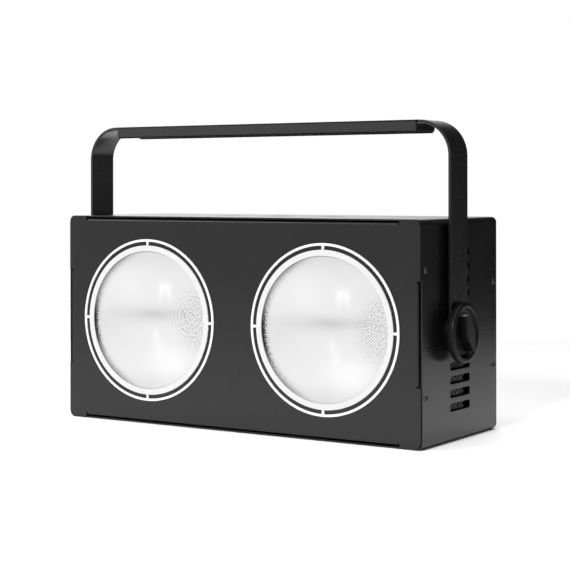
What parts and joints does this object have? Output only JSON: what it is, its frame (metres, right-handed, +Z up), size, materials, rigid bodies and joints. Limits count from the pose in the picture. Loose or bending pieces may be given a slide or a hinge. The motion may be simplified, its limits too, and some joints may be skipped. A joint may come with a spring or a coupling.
{
  "type": "audience blinder light",
  "caption": "Audience blinder light: a sheet-steel box with round lamps in a row, hung in a tilting yoke with clamp knobs, with fans, sockets and a menu at the rear.",
  "frame": {"origin": "the middle of the bottom sheet, which the light stands on", "axes": "+Z up, front (the lamps' side) towards -Y, +X to the right as seen from the front"},
  "size_m": [0.4572, 0.1855, 0.303],
  "materials": {
    "black_coat": "fine satin black powder coat on sheet steel",
    "yoke_coat": "fine satin black powder coat on a steel strap",
    "white_coat": "white semi-gloss paint",
    "clear_lens": "clear moulded lens with a fine dimpled inner face",
    "bright_metal": "bright faceted reflector",
    "bare_aluminium": "bare extruded aluminium",
    "zinc_steel": "zinc-plated steel",
    "black_rubber": "black sponge rubber",
    "led_phosphor": "yellow phosphor disc on a white ceramic board",
    "white_plastic": "white moulded plastic",
    "fan_plastic": "black moulded plastic",
    "knob_plastic": "black moulded plastic with a fine grain",
    "washer_plastic": "dark grey plain plastic",
    "socket_plastic": "black moulded plastic",
    "button_plastic": "dark grey moulded plastic",
    "circuit_board": "green solder resist on glass-fibre board",
    "display_plastic": "dark blue clear window"
  },
  "bodies": {
    "housing": {"housing_shell": "black_coat", "front_plate": "black_coat", "rear_panel": "black_coat", "control_board": "circuit_board", "display_window": "display_plastic", "dmx_in_socket": "socket_plastic", "dmx_out_socket": "socket_plastic", "power_in_socket": "socket_plastic", "power_out_socket": "socket_plastic", "fuse_holder": "socket_plastic", "safety_eye": "zinc_steel", "led_driver": "bare_aluminium", "trim_ring_left": "white_coat", "lens_left": "clear_lens", "lens_gasket_left": "black_rubber", "lens_retainer_left": "zinc_steel", "reflector_left": "bright_metal", "led_module_left": "led_phosphor", "led_holder_left": "white_plastic", "heat_sink_left": "bare_aluminium", "fan_frame_left": "fan_plastic", "side_mesh_left": "black_coat", "pivot_bush_left": "zinc_steel", "pivot_washer_left": "washer_plastic", "screw_left_front_top": "zinc_steel", "screw_left_front_bottom": "zinc_steel", "screw_left_rear_top": "zinc_steel", "screw_left_rear_bottom": "zinc_steel", "trim_ring_right": "white_coat", "lens_right": "clear_lens", "lens_gasket_right": "black_rubber", "lens_retainer_right": "zinc_steel", "reflector_right": "bright_metal", "led_module_right": "led_phosphor", "led_holder_right": "white_plastic", "heat_sink_right": "bare_aluminium", "fan_frame_right": "fan_plastic", "side_mesh_right": "black_coat", "pivot_bush_right": "zinc_steel", "pivot_washer_right": "washer_plastic", "screw_right_front_top": "zinc_steel", "screw_right_front_bottom": "zinc_steel", "screw_right_rear_top": "zinc_steel", "screw_right_rear_bottom": "zinc_steel"},
    "yoke": {"yoke": "yoke_coat"},
    "knob_left": {"knob_left": "knob_plastic", "clamp_stud_left": "zinc_steel"},
    "fan_rotor_left": {"fan_rotor_left": "fan_plastic"},
    "knob_right": {"knob_right": "knob_plastic", "clamp_stud_right": "zinc_steel"},
    "fan_rotor_right": {"fan_rotor_right": "fan_plastic"},
    "menu_button_1": {"menu_button_1": "button_plastic"},
    "menu_button_2": {"menu_button_2": "button_plastic"},
    "menu_button_3": {"menu_button_3": "button_plastic"},
    "menu_button_4": {"menu_button_4": "button_plastic"},
    "dmx_out_latch": {"dmx_out_latch": "zinc_steel"},
    "fuse_cap": {"fuse_cap": "socket_plastic"}
  },
  "joints": [
    {"name": "yoke_tilt", "type": "hinge", "parent": "housing", "child": "yoke", "pos_m": [0, -0.0185, 0.103], "axis": [1, 0, 0], "continuous": true},
    {"name": "knob_turn_left", "type": "hinge", "parent": "housing", "child": "knob_left", "pos_m": [0, -0.0185, 0.103], "axis": [-1, 0, 0], "continuous": true},
    {"name": "knob_turn_right", "type": "hinge", "parent": "housing", "child": "knob_right", "pos_m": [0, -0.0185, 0.103], "axis": [1, 0, 0], "continuous": true},
    {"name": "fan_spin_left", "type": "hinge", "parent": "housing", "child": "fan_rotor_left", "pos_m": [-0.104, 0, 0.105], "axis": [0, 1, 0], "continuous": true},
    {"name": "fan_spin_right", "type": "hinge", "parent": "housing", "child": "fan_rotor_right", "pos_m": [0.104, 0, 0.105], "axis": [0, 1, 0], "continuous": true},
    {"name": "button_press_1", "type": "slide", "parent": "housing", "child": "menu_button_1", "axis": [0, -1, 0], "range_m": [0, 0.0008], "stiffness_N_per_m": 600, "springref_m": -0.0005},
    {"name": "button_press_2", "type": "slide", "parent": "housing", "child": "menu_button_2", "axis": [0, -1, 0], "range_m": [0, 0.0008], "stiffness_N_per_m": 600, "springref_m": -0.0005},
    {"name": "button_press_3", "type": "slide", "parent": "housing", "child": "menu_button_3", "axis": [0, -1, 0], "range_m": [0, 0.0008], "stiffness_N_per_m": 600, "springref_m": -0.0005},
    {"name": "button_press_4", "type": "slide", "parent": "housing", "child": "menu_button_4", "axis": [0, -1, 0], "range_m": [0, 0.0008], "stiffness_N_per_m": 600, "springref_m": -0.0005},
    {"name": "latch_press", "type": "slide", "parent": "housing", "child": "dmx_out_latch", "axis": [0, 0, -1], "range_m": [0, 0.001], "stiffness_N_per_m": 800, "springref_m": -0.0006},
    {"name": "fuse_turn", "type": "hinge", "parent": "housing", "child": "fuse_cap", "pos_m": [0, 0.08, 0.027], "axis": [0, 1, 0], "range_deg": [0, 90]}
  ]
}
